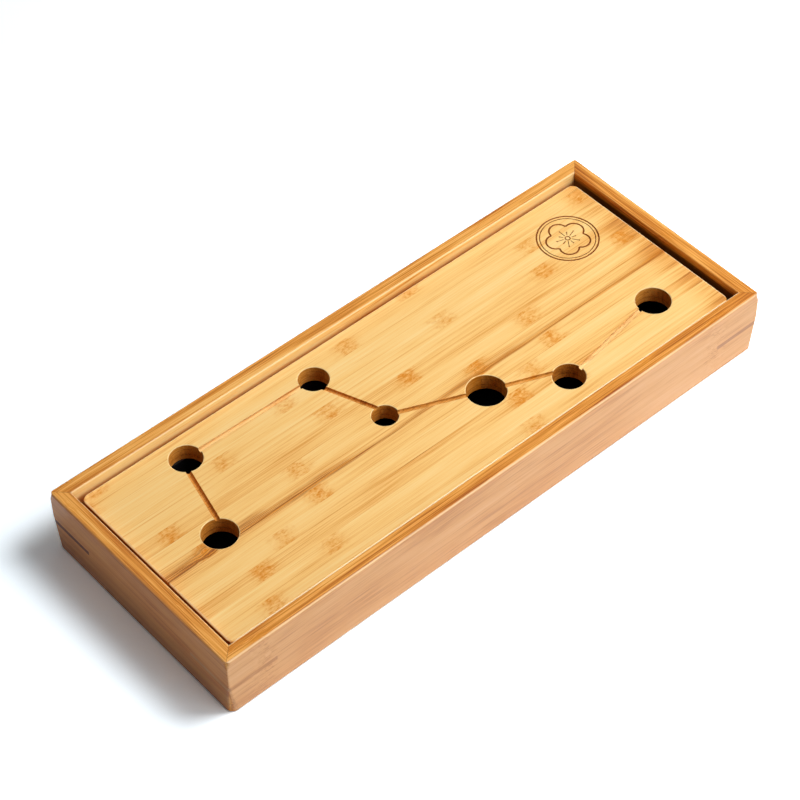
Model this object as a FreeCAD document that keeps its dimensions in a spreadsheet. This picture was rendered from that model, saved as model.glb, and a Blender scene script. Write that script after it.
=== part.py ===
import FreeCAD, Part
import math
import os

import Sketcher
from FreeCAD import Placement, Rotation, Vector

# A small bamboo tea table: a mitred frame with corner keys and a floor panel,
# a water tray that hangs inside it, and a loose board with seven drain holes.
# The origin lies on the ground under the middle, +X along the length, +Z up.

# Driving sizes in millimetres, and draft in degrees.
SIZES = {
    # Frame of four mitred rails
    "table_length": 400,
    "table_width": 156,
    "rail_height": 45.3,
    "rail_thickness": 17,
    "rim_width": 9,
    "rim_outer_radius": 1.4,
    "rim_inner_radius": 0.8,
    "rail_foot_radius": 0.8,
    "arris_radius": 0.9,
    "corner_rim_radius": 3.6,
    "corner_foot_radius": 5.5,
    "corner_flare_height": 26,
    "corner_crown_height": 6,
    # Keys let across the mitres
    "key_leg": 33,
    "key_thickness": 3,
    "key_below_ledge": 5.5,
    # Floor panel in its groove
    "panel_thickness": 4,
    "panel_lift": 5,
    "panel_groove_depth": 5,
    "panel_edge_play": 0.5,
    "panel_face_play": 0.2,
    # Soft pads under the long rails
    "pad_radius": 6,
    "pad_thickness": 2,
    "pad_proud": 0.5,
    "pad_play": 0.2,
    "pad_from_end": 30,
    # Board with the drain holes
    "board_thickness": 11.5,
    "board_drop": 5.2,
    "board_end_gap": 3.2,
    "board_side_gap": 2.3,
    "board_corner_radius": 5,
    "board_edge_radius": 1.4,
    "board_foot_chamfer": 1,
    "hole_edge_chamfer": 0.5,
    "gutter_width": 3.2,
    "gutter_depth": 2,
    # Battens and their screws under the board
    "batten_width": 20,
    "batten_thickness": 6,
    "batten_play": 1,
    "batten_chamfer": 1,
    "screw_spacing": 70,
    "screw_length": 14,
    "screw_radius": 1.75,
    "screw_head_radius": 3.6,
    "screw_play": 0.1,
    # Water tray that hangs on the ledge
    "tray_play": 0.8,
    "tray_wall": 1.6,
    "tray_floor_gap": 0.8,
    "tray_draft_angle": 3,
    "tray_corner_radius": 12,
    "tray_foot_radius": 4,
    "flange_thickness": 1.6,
    "flange_overlap": 6,
    "flange_corner_radius": 6,
    # How far a cutting shape runs past what it cuts
    "overrun": 5,
}

# The seven drain holes in the order that the gutters join them: the diameter,
# and the place as shares of the board's half length and half width.
DRAIN_HOLES = {
    "dipper_lip": {"diameter": 21.2, "place_share": (-0.777, -0.064)},
    "dipper_back": {"diameter": 19.6, "place_share": (-0.674, 0.754)},
    "dipper_base": {"diameter": 18.4, "place_share": (-0.188, 0.727)},
    "dipper_heel": {"diameter": 15.8, "place_share": (-0.123, 0.003)},
    "handle_root": {"diameter": 23.8, "place_share": (0.172, -0.361)},
    "handle_bend": {"diameter": 19.7, "place_share": (0.399, -0.715)},
    "handle_tip": {"diameter": 21.4, "place_share": (0.816, -0.559)},
}

# The gutters run straight from hole to hole, but not from centre to centre. Each
# passes to the left of its start and of its finish by these shares of their radii.
GUTTER_ASIDE_SHARES = [(-0.29, 0.29), (0, 0), (-0.37, 0.35), (0, 0), (0, 0.55), (-0.10, 0.17)]

# The battens' middles lie this share of the board's half length from its middle,
# clear of every hole. Each batten has the sign of its side.
BATTEN_PLACE_SHARE = 0.532
BATTEN_SIDES = {"left_batten": "-", "right_batten": ""}

doc = FreeCAD.newDocument("TeaTable")
sheet = doc.addObject("Spreadsheet::Sheet", "Sizes")
hole_sizes = {name + "_diameter": hole["diameter"] for name, hole in DRAIN_HOLES.items()}
for row, (alias, amount) in enumerate({**SIZES, **hole_sizes}.items(), start=1):
    sheet.set(f"A{row}", alias)
    sheet.set(f"B{row}", str(amount))
    sheet.setAlias(f"B{row}", alias)
doc.recompute()

# Sizes and heights that follow from the driving ones, as expressions.
RAIL_TOP = "(Sizes.pad_proud + Sizes.rail_height)"
BOARD_TOP = f"({RAIL_TOP} - Sizes.board_drop)"
BOARD_UNDERSIDE = f"({BOARD_TOP} - Sizes.board_thickness)"
LEDGE_HEIGHT = f"({BOARD_UNDERSIDE} - Sizes.flange_thickness)"
REBATE_DEPTH = f"({RAIL_TOP} - {LEDGE_HEIGHT})"
KEY_HEIGHT = f"({LEDGE_HEIGHT} - Sizes.key_below_ledge)"
PANEL_HEIGHT = "(Sizes.pad_proud + Sizes.panel_lift)"
PANEL_INSET = "(Sizes.rail_thickness - Sizes.panel_groove_depth + Sizes.panel_edge_play)"
BOARD_LENGTH = "(Sizes.table_length - 2 * (Sizes.rim_width + Sizes.board_end_gap))"
BOARD_WIDTH = "(Sizes.table_width - 2 * (Sizes.rim_width + Sizes.board_side_gap))"
TRAY_LENGTH = "(Sizes.table_length - 2 * (Sizes.rail_thickness + Sizes.tray_play))"
TRAY_WIDTH = "(Sizes.table_width - 2 * (Sizes.rail_thickness + Sizes.tray_play))"
TRAY_UNDERSIDE = f"({PANEL_HEIGHT} + Sizes.panel_thickness + Sizes.tray_floor_gap)"
TRAY_FLOOR = f"({TRAY_UNDERSIDE} + Sizes.tray_wall)"
FLANGE_LENGTH = "(Sizes.table_length - 2 * (Sizes.rail_thickness - Sizes.flange_overlap))"
FLANGE_WIDTH = "(Sizes.table_width - 2 * (Sizes.rail_thickness - Sizes.flange_overlap))"
BATTEN_LENGTH = f"({TRAY_WIDTH} - 2 * (Sizes.tray_wall + Sizes.batten_play))"
BATTEN_PLACE = f"({BATTEN_PLACE_SHARE} * {BOARD_LENGTH} / 2)"

# Two coordinates closer than this are the same point of a shape.
SAME_POINT = 1e-4

# Object that each node is exported from, by the node's name.
nodes = {}


def value(expression):
    return float(sheet.evalExpression(expression))


def same(first, second):
    return abs(first - second) < SAME_POINT


def new_body(label):
    body = doc.addObject("PartDesign::Body", label)
    body.Label = label
    return body


def new_sketch(body, name, role="XY_Plane", lift="0"):
    sketch = body.newObject("Sketcher::SketchObject", name)
    plane = next(item for item in body.Origin.OriginFeatures if item.Role == role)
    sketch.AttachmentSupport = [(plane, "")]
    sketch.MapMode = "FlatFace"
    sketch.setExpression("AttachmentOffset.Base.z", lift)
    return sketch


def bind(sketch, kind, geometry, point, expression):
    """Ties one coordinate of a point to an expression."""
    datum = Sketcher.Constraint(kind, -1, 1, geometry, point, value(expression))
    number = sketch.addConstraint(datum)
    sketch.setExpression(f"Constraints[{number}]", expression)


def draw_outline(sketch, corners):
    """Draws a closed outline through corners that are given as pairs of expressions."""
    first = sketch.GeometryCount
    count = len(corners)
    places = [Vector(value(across), value(along), 0) for across, along in corners]
    for step in range(count):
        sketch.addGeometry(Part.LineSegment(places[step], places[(step + 1) % count]))
    for step in range(count):
        following = first + (step + 1) % count
        sketch.addConstraint(Sketcher.Constraint("Coincident", first + step, 2, following, 1))
    for step, (across, along) in enumerate(corners):
        bind(sketch, "DistanceX", first + step, 1, across)
        bind(sketch, "DistanceY", first + step, 1, along)


def draw_rectangle(sketch, length, width):
    """Draws a rectangle about the sketch's origin."""
    draw_outline(sketch, [
        (f"-{length} / 2", f"-{width} / 2"),
        (f"{length} / 2", f"-{width} / 2"),
        (f"{length} / 2", f"{width} / 2"),
        (f"-{length} / 2", f"{width} / 2"),
    ])


def draw_circle(sketch, across, along, radius):
    centre = Vector(value(across), value(along), 0)
    circle = sketch.addGeometry(Part.Circle(centre, Vector(0, 0, 1), value(radius)))
    bind(sketch, "DistanceX", circle, 3, across)
    bind(sketch, "DistanceY", circle, 3, along)
    number = sketch.addConstraint(Sketcher.Constraint("Radius", circle, value(radius)))
    sketch.setExpression(f"Constraints[{number}]", radius)


def pad(body, name, sketch, length, reverse=False, symmetric=False):
    feature = body.newObject("PartDesign::Pad", name)
    feature.Profile = sketch
    feature.setExpression("Length", length)
    feature.Reversed = reverse
    if symmetric:
        feature.SideType = "Symmetric"
    doc.recompute()
    return feature


def pocket(body, name, sketch, length=None, reverse=False, symmetric=False):
    """Cuts a sketch to a depth, or right through where no depth is given."""
    before = body.Shape.Volume
    feature = body.newObject("PartDesign::Pocket", name)
    feature.Profile = sketch
    feature.Reversed = reverse
    if symmetric:
        feature.SideType = "Symmetric"
    if length:
        feature.setExpression("Length", length)
    else:
        feature.Type = "ThroughAll"
    doc.recompute()
    if not feature.Shape.Volume < before:
        raise ValueError(f"{body.Label}: {name} cuts nothing")
    return feature


def edges_where(feature, test):
    """Names of a feature's edges that pass a test."""
    numbered = enumerate(feature.Shape.Edges, start=1)
    return [f"Edge{number}" for number, edge in numbered if test(edge)]


def ends_lie(edge, test):
    return all(test(vertex.Point) for vertex in edge.Vertexes)


def soften(body, name, base, test, amount, kind="Fillet"):
    """Rounds or chamfers the edges of a feature that pass a test."""
    feature = body.newObject(f"PartDesign::{kind}", name)
    feature.Base = (base, edges_where(base, test))
    feature.setExpression("Radius" if kind == "Fillet" else "Size", amount)
    doc.recompute()
    return feature


def is_upright(edge):
    low, high = edge.BoundBox.ZMin, edge.BoundBox.ZMax
    return not same(low, high)


def keep_within(label, body, form):
    """Makes a node of what a body and a form have in common."""
    common = doc.addObject("Part::Common", label)
    common.Label = label
    common.Base = body
    common.Tool = form
    nodes[label] = common


def place(body, across, along, turn):
    """Turns a body about +Z and moves it to a place given by expressions."""
    body.Placement = Placement(Vector(0, 0, 0), Rotation(Vector(0, 0, 1), turn))
    body.setExpression("Placement.Base.x", across)
    body.setExpression("Placement.Base.y", along)


# Corner form: the block that the glued frame is sanded to. Its upright corners
# are crisp in the middle, and grow rounder towards the ground and at the rim.
def rounded_rectangle(length, width, radius, height):
    """Wire of a rectangle with round corners, level, about the Z axis."""
    arcs = []
    corners = ((1, 1), (-1, 1), (-1, -1), (1, -1))
    for turn, (side, end) in enumerate(corners):
        centre = Vector(side * (length / 2 - radius), end * (width / 2 - radius), height)
        circle = Part.Circle(centre, Vector(0, 0, 1), radius)
        arcs.append(Part.ArcOfCircle(circle, turn * math.pi / 2, (turn + 1) * math.pi / 2).toShape())
    edges = []
    for arc, following in zip(arcs, arcs[1:] + arcs[:1]):
        edges += [arc, Part.makeLine(arc.Vertexes[-1].Point, following.Vertexes[0].Point)]
    return Part.Wire(edges)


def make_corner_form():
    sections = (
        ("Sizes.pad_proud - Sizes.overrun", "Sizes.corner_foot_radius"),
        ("Sizes.pad_proud", "Sizes.corner_foot_radius"),
        ("Sizes.pad_proud + Sizes.corner_flare_height", "Sizes.arris_radius"),
        (f"{RAIL_TOP} - Sizes.corner_crown_height", "Sizes.arris_radius"),
        (f"{RAIL_TOP} - Sizes.rim_outer_radius", "Sizes.corner_rim_radius"),
        (f"{RAIL_TOP} + Sizes.overrun", "Sizes.corner_rim_radius"),
    )
    length, width = value("Sizes.table_length"), value("Sizes.table_width")
    wires = [rounded_rectangle(length, width, value(radius), value(height)) for height, radius in sections]
    form = doc.addObject("Part::Feature", "corner_form")
    form.Shape = Part.makeLoft(wires, True, True)
    return form


corner_form = make_corner_form()


# Rails: each lies along X in its own body, outer face on y = 0, underside on
# z = 0, and has a mitre at both ends, a rebate, a floor groove and key slots.
def make_rail(label, run, across, along, turn, has_pads):
    body = new_body(label + "_blank")
    plan = new_sketch(body, label + "_plan")
    draw_outline(plan, [
        (f"-{run} / 2", "0"),
        (f"{run} / 2", "0"),
        (f"{run} / 2 - Sizes.rail_thickness", "Sizes.rail_thickness"),
        (f"-{run} / 2 + Sizes.rail_thickness", "Sizes.rail_thickness"),
    ])
    pad(body, label + "_stock", plan, "Sizes.rail_height")

    rebate = new_sketch(body, label + "_rebate_section", "YZ_Plane")
    draw_outline(rebate, [
        ("Sizes.rim_width", f"Sizes.rail_height - {REBATE_DEPTH}"),
        ("Sizes.rail_thickness + Sizes.overrun", f"Sizes.rail_height - {REBATE_DEPTH}"),
        ("Sizes.rail_thickness + Sizes.overrun", "Sizes.rail_height + Sizes.overrun"),
        ("Sizes.rim_width", "Sizes.rail_height + Sizes.overrun"),
    ])
    pocket(body, label + "_rebate", rebate, symmetric=True)

    groove = new_sketch(body, label + "_groove_section", "YZ_Plane")
    groove_wall = "Sizes.rail_thickness - Sizes.panel_groove_depth"
    groove_top = "Sizes.panel_lift + Sizes.panel_thickness + Sizes.panel_face_play"
    draw_outline(groove, [
        (groove_wall, "Sizes.panel_lift"),
        ("Sizes.rail_thickness + Sizes.overrun", "Sizes.panel_lift"),
        ("Sizes.rail_thickness + Sizes.overrun", groove_top),
        (groove_wall, groove_top),
    ])
    pocket(body, label + "_groove", groove, symmetric=True)

    slots = new_sketch(body, label + "_key_plan", lift=f"{KEY_HEIGHT} - Sizes.pad_proud")
    for side in ("", "-"):
        draw_outline(slots, [
            (f"{side}({run} / 2 - Sizes.key_leg)", "0"),
            (f"{side}{run} / 2", "0"),
            (f"{side}{run} / 2", "Sizes.key_leg"),
        ])
    last = pocket(body, label + "_key_slots", slots, "Sizes.key_thickness", symmetric=True)

    if has_pads:
        recesses = new_sketch(body, label + "_pad_plan")
        for side in ("", "-"):
            draw_circle(recesses, f"{side}({run} / 2 - Sizes.pad_from_end)", "Sizes.rail_thickness / 2",
                        "Sizes.pad_radius + Sizes.pad_play")
        last = pocket(body, label + "_pad_recesses", recesses,
                      "Sizes.pad_thickness - Sizes.pad_proud", reverse=True)

    height, rim = value("Sizes.rail_height"), value("Sizes.rim_width")
    softened = (
        ("rim_outer", 0, height, "Sizes.rim_outer_radius"),
        ("rim_inner", rim, height, "Sizes.rim_inner_radius"),
        ("foot", 0, 0, "Sizes.rail_foot_radius"),
    )
    for name, inward, level, radius in softened:
        def runs_there(edge):
            return ends_lie(edge, lambda point: same(point.y, inward) and same(point.z, level))
        last = soften(body, f"{label}_{name}_round", last, runs_there, radius)

    place(body, across, along, turn)
    body.setExpression("Placement.Base.z", "Sizes.pad_proud")
    keep_within(label, body, corner_form)


LONG_RUN, SHORT_RUN = "Sizes.table_length", "Sizes.table_width"
LEFT, RIGHT = "-Sizes.table_length / 2", "Sizes.table_length / 2"
FRONT, BACK = "-Sizes.table_width / 2", "Sizes.table_width / 2"
make_rail("front_rail", LONG_RUN, "0", FRONT, 0, has_pads=True)
make_rail("back_rail", LONG_RUN, "0", BACK, 180, has_pads=True)
make_rail("left_rail", SHORT_RUN, LEFT, "0", -90, has_pads=False)
make_rail("right_rail", SHORT_RUN, RIGHT, "0", 90, has_pads=False)


# Keys: thin triangles glued into saw cuts across the mitres, one to a corner.
def make_key(label, across, along, turn):
    body = new_body(label + "_blank")
    plan = new_sketch(body, label + "_plan", lift=KEY_HEIGHT)
    draw_outline(plan, [("0", "0"), ("Sizes.key_leg", "0"), ("0", "Sizes.key_leg")])
    pad(body, label + "_slip", plan, "Sizes.key_thickness", symmetric=True)
    place(body, across, along, turn)
    keep_within(label, body, corner_form)


make_key("front_left_key", LEFT, FRONT, 0)
make_key("front_right_key", RIGHT, FRONT, 90)
make_key("back_right_key", RIGHT, BACK, 180)
make_key("back_left_key", LEFT, BACK, 270)


# Floor panel: a thin board held in the rails' grooves, with room to swell.
def make_floor_panel():
    body = new_body("floor_panel")
    plan = new_sketch(body, "floor_panel_plan", lift=PANEL_HEIGHT)
    draw_rectangle(plan, f"(Sizes.table_length - 2 * {PANEL_INSET})",
                   f"(Sizes.table_width - 2 * {PANEL_INSET})")
    pad(body, "floor_panel_sheet", plan, "Sizes.panel_thickness")
    nodes["floor_panel"] = body


make_floor_panel()


# Foot pads: soft discs let into the undersides of the long rails.
def make_foot_pad(label, across, along):
    body = new_body(label)
    plan = new_sketch(body, label + "_plan")
    draw_circle(plan, "0", "0", "Sizes.pad_radius")
    pad(body, label + "_disc", plan, "Sizes.pad_thickness")
    place(body, across, along, 0)
    nodes[label] = body


PAD_ACROSS = "(Sizes.table_length / 2 - Sizes.pad_from_end)"
PAD_ALONG = "(Sizes.table_width / 2 - Sizes.rail_thickness / 2)"
for end_name, end_sign in (("left", "-"), ("right", "")):
    for side_name, side_sign in (("front", "-"), ("back", "")):
        make_foot_pad(f"{side_name}_{end_name}_pad", end_sign + PAD_ACROSS, side_sign + PAD_ALONG)


# Water tray: a thin moulded dish with drafted walls and a flange that hangs on
# the rails' ledge under the board.
def drafted_form(length, width, radius, bottom, top, foot_radius):
    """Solid that narrows downwards. Its plan is the given one at the ledge's height."""
    wires = []
    for height in (bottom, top):
        spread = (height - value(LEDGE_HEIGHT)) * math.tan(math.radians(value("Sizes.tray_draft_angle")))
        wires.append(rounded_rectangle(length + 2 * spread, width + 2 * spread, radius + spread, height))
    solid = Part.makeLoft(wires, True, True)
    foot = [edge for edge in solid.Edges if ends_lie(edge, lambda point: same(point.z, bottom))]
    return solid.makeFillet(foot_radius, foot)


def make_water_tray():
    wall = value("Sizes.tray_wall")
    length, width = value(TRAY_LENGTH), value(TRAY_WIDTH)
    corner, foot = value("Sizes.tray_corner_radius"), value("Sizes.tray_foot_radius")
    top = value(BOARD_UNDERSIDE)
    outside = drafted_form(length, width, corner, value(TRAY_UNDERSIDE), top, foot)
    inside = drafted_form(length - 2 * wall, width - 2 * wall, corner - wall,
                          value(TRAY_FLOOR), top + value("Sizes.overrun"), foot - wall)
    rim = rounded_rectangle(value(FLANGE_LENGTH), value(FLANGE_WIDTH),
                            value("Sizes.flange_corner_radius"), value(LEDGE_HEIGHT))
    flange = Part.Face(rim).extrude(Vector(0, 0, value("Sizes.flange_thickness")))
    tray = doc.addObject("Part::Feature", "water_tray")
    tray.Shape = outside.fuse(flange).cut(inside).removeSplitter()
    nodes["water_tray"] = tray


make_water_tray()


# Board: one laminated slab with seven drain holes set out as the Big Dipper,
# and shallow gutters cut from hole to hole.
def hole_places():
    places = {}
    for name, hole in DRAIN_HOLES.items():
        across_share, along_share = hole["place_share"]
        places[name] = (f"{across_share} * {BOARD_LENGTH} / 2", f"{along_share} * {BOARD_WIDTH} / 2")
    return places


def screw_places():
    places = []
    for end in BATTEN_SIDES.values():
        for side in ("", "-"):
            places.append((end + BATTEN_PLACE, f"{side}Sizes.screw_spacing / 2"))
    return places


def make_board_slab():
    body = new_body("tea_board_slab")
    low, high = value(BOARD_UNDERSIDE), value(BOARD_TOP)
    plan = new_sketch(body, "board_plan", lift=BOARD_UNDERSIDE)
    draw_rectangle(plan, BOARD_LENGTH, BOARD_WIDTH)
    slab = pad(body, "board_stock", plan, "Sizes.board_thickness")
    last = soften(body, "board_corners", slab, is_upright, "Sizes.board_corner_radius")
    last = soften(body, "board_edges", last,
                  lambda edge: ends_lie(edge, lambda point: same(point.z, high)), "Sizes.board_edge_radius")
    last = soften(body, "board_foot", last,
                  lambda edge: ends_lie(edge, lambda point: same(point.z, low)),
                  "Sizes.board_foot_chamfer", "Chamfer")

    holes = new_sketch(body, "drain_hole_plan", lift=BOARD_UNDERSIDE)
    for name, (across, along) in hole_places().items():
        draw_circle(holes, across, along, f"Sizes.{name}_diameter / 2")
    last = pocket(body, "drain_holes", holes, reverse=True)

    def is_hole_rim(edge):
        return len(edge.Vertexes) == 1 and same(edge.Vertexes[0].Point.z, high)

    last = soften(body, "drain_hole_rims", last, is_hole_rim, "Sizes.hole_edge_chamfer", "Chamfer")

    pilots = new_sketch(body, "pilot_hole_plan", lift=BOARD_UNDERSIDE)
    for across, along in screw_places():
        draw_circle(pilots, across, along, "Sizes.screw_radius + Sizes.screw_play")
    pocket(body, "pilot_holes", pilots,
           "Sizes.screw_length - Sizes.batten_thickness + Sizes.screw_play", reverse=True)
    return body


def gutter(start, finish):
    """Solid of one gutter: straight walls above a half-round bottom."""
    radius = value("Sizes.gutter_width") / 2
    run = finish - start
    across = Vector(-run.y, run.x, 0).normalize() * radius
    crown = Vector(0, 0, value("Sizes.overrun"))
    spring = Vector(0, 0, radius - value("Sizes.gutter_depth"))
    bottom = Vector(0, 0, -value("Sizes.gutter_depth"))
    section = Part.Wire([
        Part.makeLine(start + across + crown, start + across + spring),
        Part.Arc(start + across + spring, start + bottom, start - across + spring).toShape(),
        Part.makeLine(start - across + spring, start - across + crown),
        Part.makeLine(start - across + crown, start + across + crown),
    ])
    return Part.Face(section).extrude(run)


def gutter_ends():
    """Both ends of each gutter's middle line, which lie inside its two holes."""
    top = value(BOARD_TOP)
    holes = [(Vector(value(across), value(along), top), value(f"Sizes.{name}_diameter / 2"))
             for name, (across, along) in hole_places().items()]
    ends = []
    for (start, start_radius), (finish, finish_radius), shares in zip(holes, holes[1:], GUTTER_ASIDE_SHARES):
        run = finish - start
        left = Vector(-run.y, run.x, 0).normalize()
        start_aside, finish_aside = shares
        ends.append((start + left * (start_aside * start_radius), finish + left * (finish_aside * finish_radius)))
    return ends


def make_tea_board():
    gutters = doc.addObject("Part::Feature", "gutter_cutters")
    gutters.Shape = Part.Compound([gutter(*ends) for ends in gutter_ends()])
    board = doc.addObject("Part::Cut", "tea_board")
    board.Label = "tea_board"
    board.Base = make_board_slab()
    board.Tool = gutters
    nodes["tea_board"] = board


make_tea_board()


# Battens: two strips screwed across the underside. They keep the board flat,
# and their ends meet the tray's walls, which centres the board.
def make_batten(label, end):
    body = new_body(label)
    bottom = value(f"{BOARD_UNDERSIDE} - Sizes.batten_thickness")
    plan = new_sketch(body, label + "_plan", lift=BOARD_UNDERSIDE)
    draw_rectangle(plan, "Sizes.batten_width", BATTEN_LENGTH)
    last = pad(body, label + "_strip", plan, "Sizes.batten_thickness", reverse=True)

    def is_lower_long_edge(edge):
        return ends_lie(edge, lambda point: same(point.z, bottom)) and same(edge.BoundBox.XLength, 0)

    last = soften(body, label + "_edges", last, is_lower_long_edge, "Sizes.batten_chamfer", "Chamfer")
    holes = new_sketch(body, label + "_hole_plan", lift=BOARD_UNDERSIDE)
    for side in ("", "-"):
        draw_circle(holes, "0", f"{side}Sizes.screw_spacing / 2", "Sizes.screw_radius + Sizes.screw_play")
    last = pocket(body, label + "_holes", holes)

    def is_hole_mouth(edge):
        return len(edge.Vertexes) == 1 and same(edge.Vertexes[0].Point.z, bottom)

    soften(body, label + "_countersinks", last, is_hole_mouth,
           "Sizes.screw_head_radius - Sizes.screw_radius", "Chamfer")
    place(body, end + BATTEN_PLACE, "0", 0)
    nodes[label] = body


for batten_label, batten_end in BATTEN_SIDES.items():
    make_batten(batten_label, batten_end)


# Screws: countersunk, driven up through the battens. Their shanks are plain pins.
def make_batten_screws():
    shank, head = value("Sizes.screw_radius"), value("Sizes.screw_head_radius")
    length = value("Sizes.screw_length")
    profile = Part.makePolygon([
        Vector(0, 0, 0),
        Vector(head, 0, 0),
        Vector(shank, 0, head - shank),
        Vector(shank, 0, length),
        Vector(0, 0, length),
        Vector(0, 0, 0),
    ])
    screw = Part.Face(profile).revolve(Vector(0, 0, 0), Vector(0, 0, 1), 360)
    seat = value(f"{BOARD_UNDERSIDE} - Sizes.batten_thickness")
    copies = []
    for across, along in screw_places():
        copy = screw.copy()
        copy.translate(Vector(value(across), value(along), seat))
        copies.append(copy)
    screws = doc.addObject("Part::Feature", "batten_screws")
    screws.Shape = Part.Compound(copies)
    nodes["batten_screws"] = screws


make_batten_screws()


# Every object has to be sound before anything is written.
def check_document():
    doc.recompute()
    for item in doc.Objects:
        if {"Invalid", "Error"} & set(item.State):
            raise ValueError(f"{item.Label} failed: {item.State}")
    for label, item in nodes.items():
        if item.Shape.isNull() or not item.Shape.isValid():
            raise ValueError(f"{label} has no valid shape")


check_document()
os.makedirs("parts", exist_ok=True)
for label, item in nodes.items():
    item.Shape.exportStep(f"parts/{label}.step")
    print(f"{label}: {len(item.Shape.Solids)} solid(s), {item.Shape.Volume:.0f} mm3")
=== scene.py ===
import math
from types import SimpleNamespace

import bmesh
import bpy
from mathutils import Matrix, Vector


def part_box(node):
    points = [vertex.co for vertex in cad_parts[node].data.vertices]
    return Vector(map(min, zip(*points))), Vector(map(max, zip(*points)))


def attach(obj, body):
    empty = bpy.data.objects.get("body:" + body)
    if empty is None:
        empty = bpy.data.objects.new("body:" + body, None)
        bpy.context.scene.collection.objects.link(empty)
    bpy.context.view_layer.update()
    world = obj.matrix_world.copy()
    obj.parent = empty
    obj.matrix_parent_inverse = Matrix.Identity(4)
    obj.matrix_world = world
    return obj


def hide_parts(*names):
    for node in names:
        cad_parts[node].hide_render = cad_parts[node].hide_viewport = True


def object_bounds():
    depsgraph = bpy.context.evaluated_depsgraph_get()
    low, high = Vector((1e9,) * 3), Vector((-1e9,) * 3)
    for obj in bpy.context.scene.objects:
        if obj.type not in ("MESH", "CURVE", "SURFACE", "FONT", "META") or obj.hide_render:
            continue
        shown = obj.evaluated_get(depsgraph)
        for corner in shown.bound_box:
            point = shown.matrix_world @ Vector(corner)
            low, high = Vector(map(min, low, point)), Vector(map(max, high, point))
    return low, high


# A small bamboo gongfu tea table. The sections follow it from the room it stands
# in to the board on top, and then down through the frame to the feet.
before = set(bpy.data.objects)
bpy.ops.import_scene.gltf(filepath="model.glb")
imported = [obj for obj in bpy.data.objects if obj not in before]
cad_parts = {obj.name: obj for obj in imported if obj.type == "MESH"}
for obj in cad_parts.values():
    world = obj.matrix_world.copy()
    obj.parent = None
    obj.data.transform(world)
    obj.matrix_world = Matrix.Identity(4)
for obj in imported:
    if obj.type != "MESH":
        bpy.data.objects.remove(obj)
cad_low, cad_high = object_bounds()


# Room: a white table top under soft studio light, seen through a long lens from
# the front left. The key lamp hangs high on the right, a little to the front.
def add_node(tree, kind, inputs=None, **settings):
    """Adds a shader node. Its inputs are given as plain values or as sockets to join."""
    added = tree.nodes.new("ShaderNode" + kind)
    for setting, value in settings.items():
        setattr(added, setting, value)
    for socket, value in (inputs or {}).items():
        if isinstance(value, bpy.types.NodeSocket):
            tree.links.new(value, added.inputs[socket])
        else:
            added.inputs[socket].default_value = value
    return added


class Value:
    """A number worked out for each spot of a surface. Sums with it add nodes to its tree."""

    def __init__(self, tree, socket):
        self.tree = tree
        self.socket = socket

    def worked(self, operation, *values):
        """A Math node of plain numbers and values."""
        inputs = {place: getattr(value, "socket", value) for place, value in enumerate(values)}
        return Value(self.tree, add_node(self.tree, "Math", inputs, operation=operation).outputs[0])

    def __add__(self, other):
        return self.worked("ADD", self, other)

    def __sub__(self, other):
        return self.worked("SUBTRACT", self, other)

    def __rsub__(self, other):
        return self.worked("SUBTRACT", other, self)

    def __mul__(self, other):
        return self.worked("MULTIPLY", self, other)

    def __truediv__(self, other):
        return self.worked("DIVIDE", self, other)

    def __abs__(self):
        return self.worked("ABSOLUTE", self)

    __radd__ = __add__

    def larger(self, other):
        return self.worked("MAXIMUM", self, other)

    def rise(self, low, high):
        """Grows smoothly from 0 where the value is low to 1 where it is high."""
        inputs = {"Value": self.socket, "From Min": low, "From Max": high}
        grown = add_node(self.tree, "MapRange", inputs, interpolation_type="SMOOTHSTEP")
        return Value(self.tree, grown.outputs[0])


def tinted(share, first_colour, second_colour):
    """The first colour with a share of the second one over it."""
    return add_node(share.tree, "Mix", {"Factor": share.socket, "A": first_colour, "B": second_colour},
                    data_type="RGBA").outputs["Result"]


def new_material(name):
    """A material with its output node alone."""
    material = bpy.data.materials.new(name)
    material.use_nodes = True
    tree = material.node_tree
    tree.nodes.clear()
    return material, tree, tree.nodes.new("ShaderNodeOutputMaterial")


def aim(thing, place, target):
    thing.location = place
    thing.rotation_mode = "QUATERNION"
    thing.rotation_quaternion = (Vector(target) - Vector(place)).to_track_quat("-Z", "Y")


def direction(azimuth, elevation):
    """Unit vector towards a place round the table: azimuth 0 is the front, 90 the right end."""
    turn, rise = math.radians(azimuth), math.radians(elevation)
    return Vector((math.sin(turn) * math.cos(rise), -math.cos(turn) * math.cos(rise), math.sin(rise)))


CAMERA_TARGET = Vector((0.0011, 0.0153, 0.0229))
CAMERA_DISTANCE = 1.4504
CAMERA_AZIMUTH, CAMERA_ELEVATION, CAMERA_ROLL = -40.374, 48.254, 1.175
camera = bpy.data.objects.new("camera", bpy.data.cameras.new("camera"))
bpy.context.scene.collection.objects.link(camera)
camera_place = CAMERA_TARGET + CAMERA_DISTANCE * direction(CAMERA_AZIMUTH, CAMERA_ELEVATION)
aim(camera, camera_place, CAMERA_TARGET)
camera.rotation_quaternion = camera.rotation_quaternion @ Matrix.Rotation(
    math.radians(-CAMERA_ROLL), 3, "Z").to_quaternion()
camera.data.sensor_width = 36
camera.data.lens = 113.07
camera.data.clip_start, camera.data.clip_end = 0.05, 50
bpy.context.scene.camera = camera
bpy.context.scene.view_settings.view_transform = "Standard"

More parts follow.
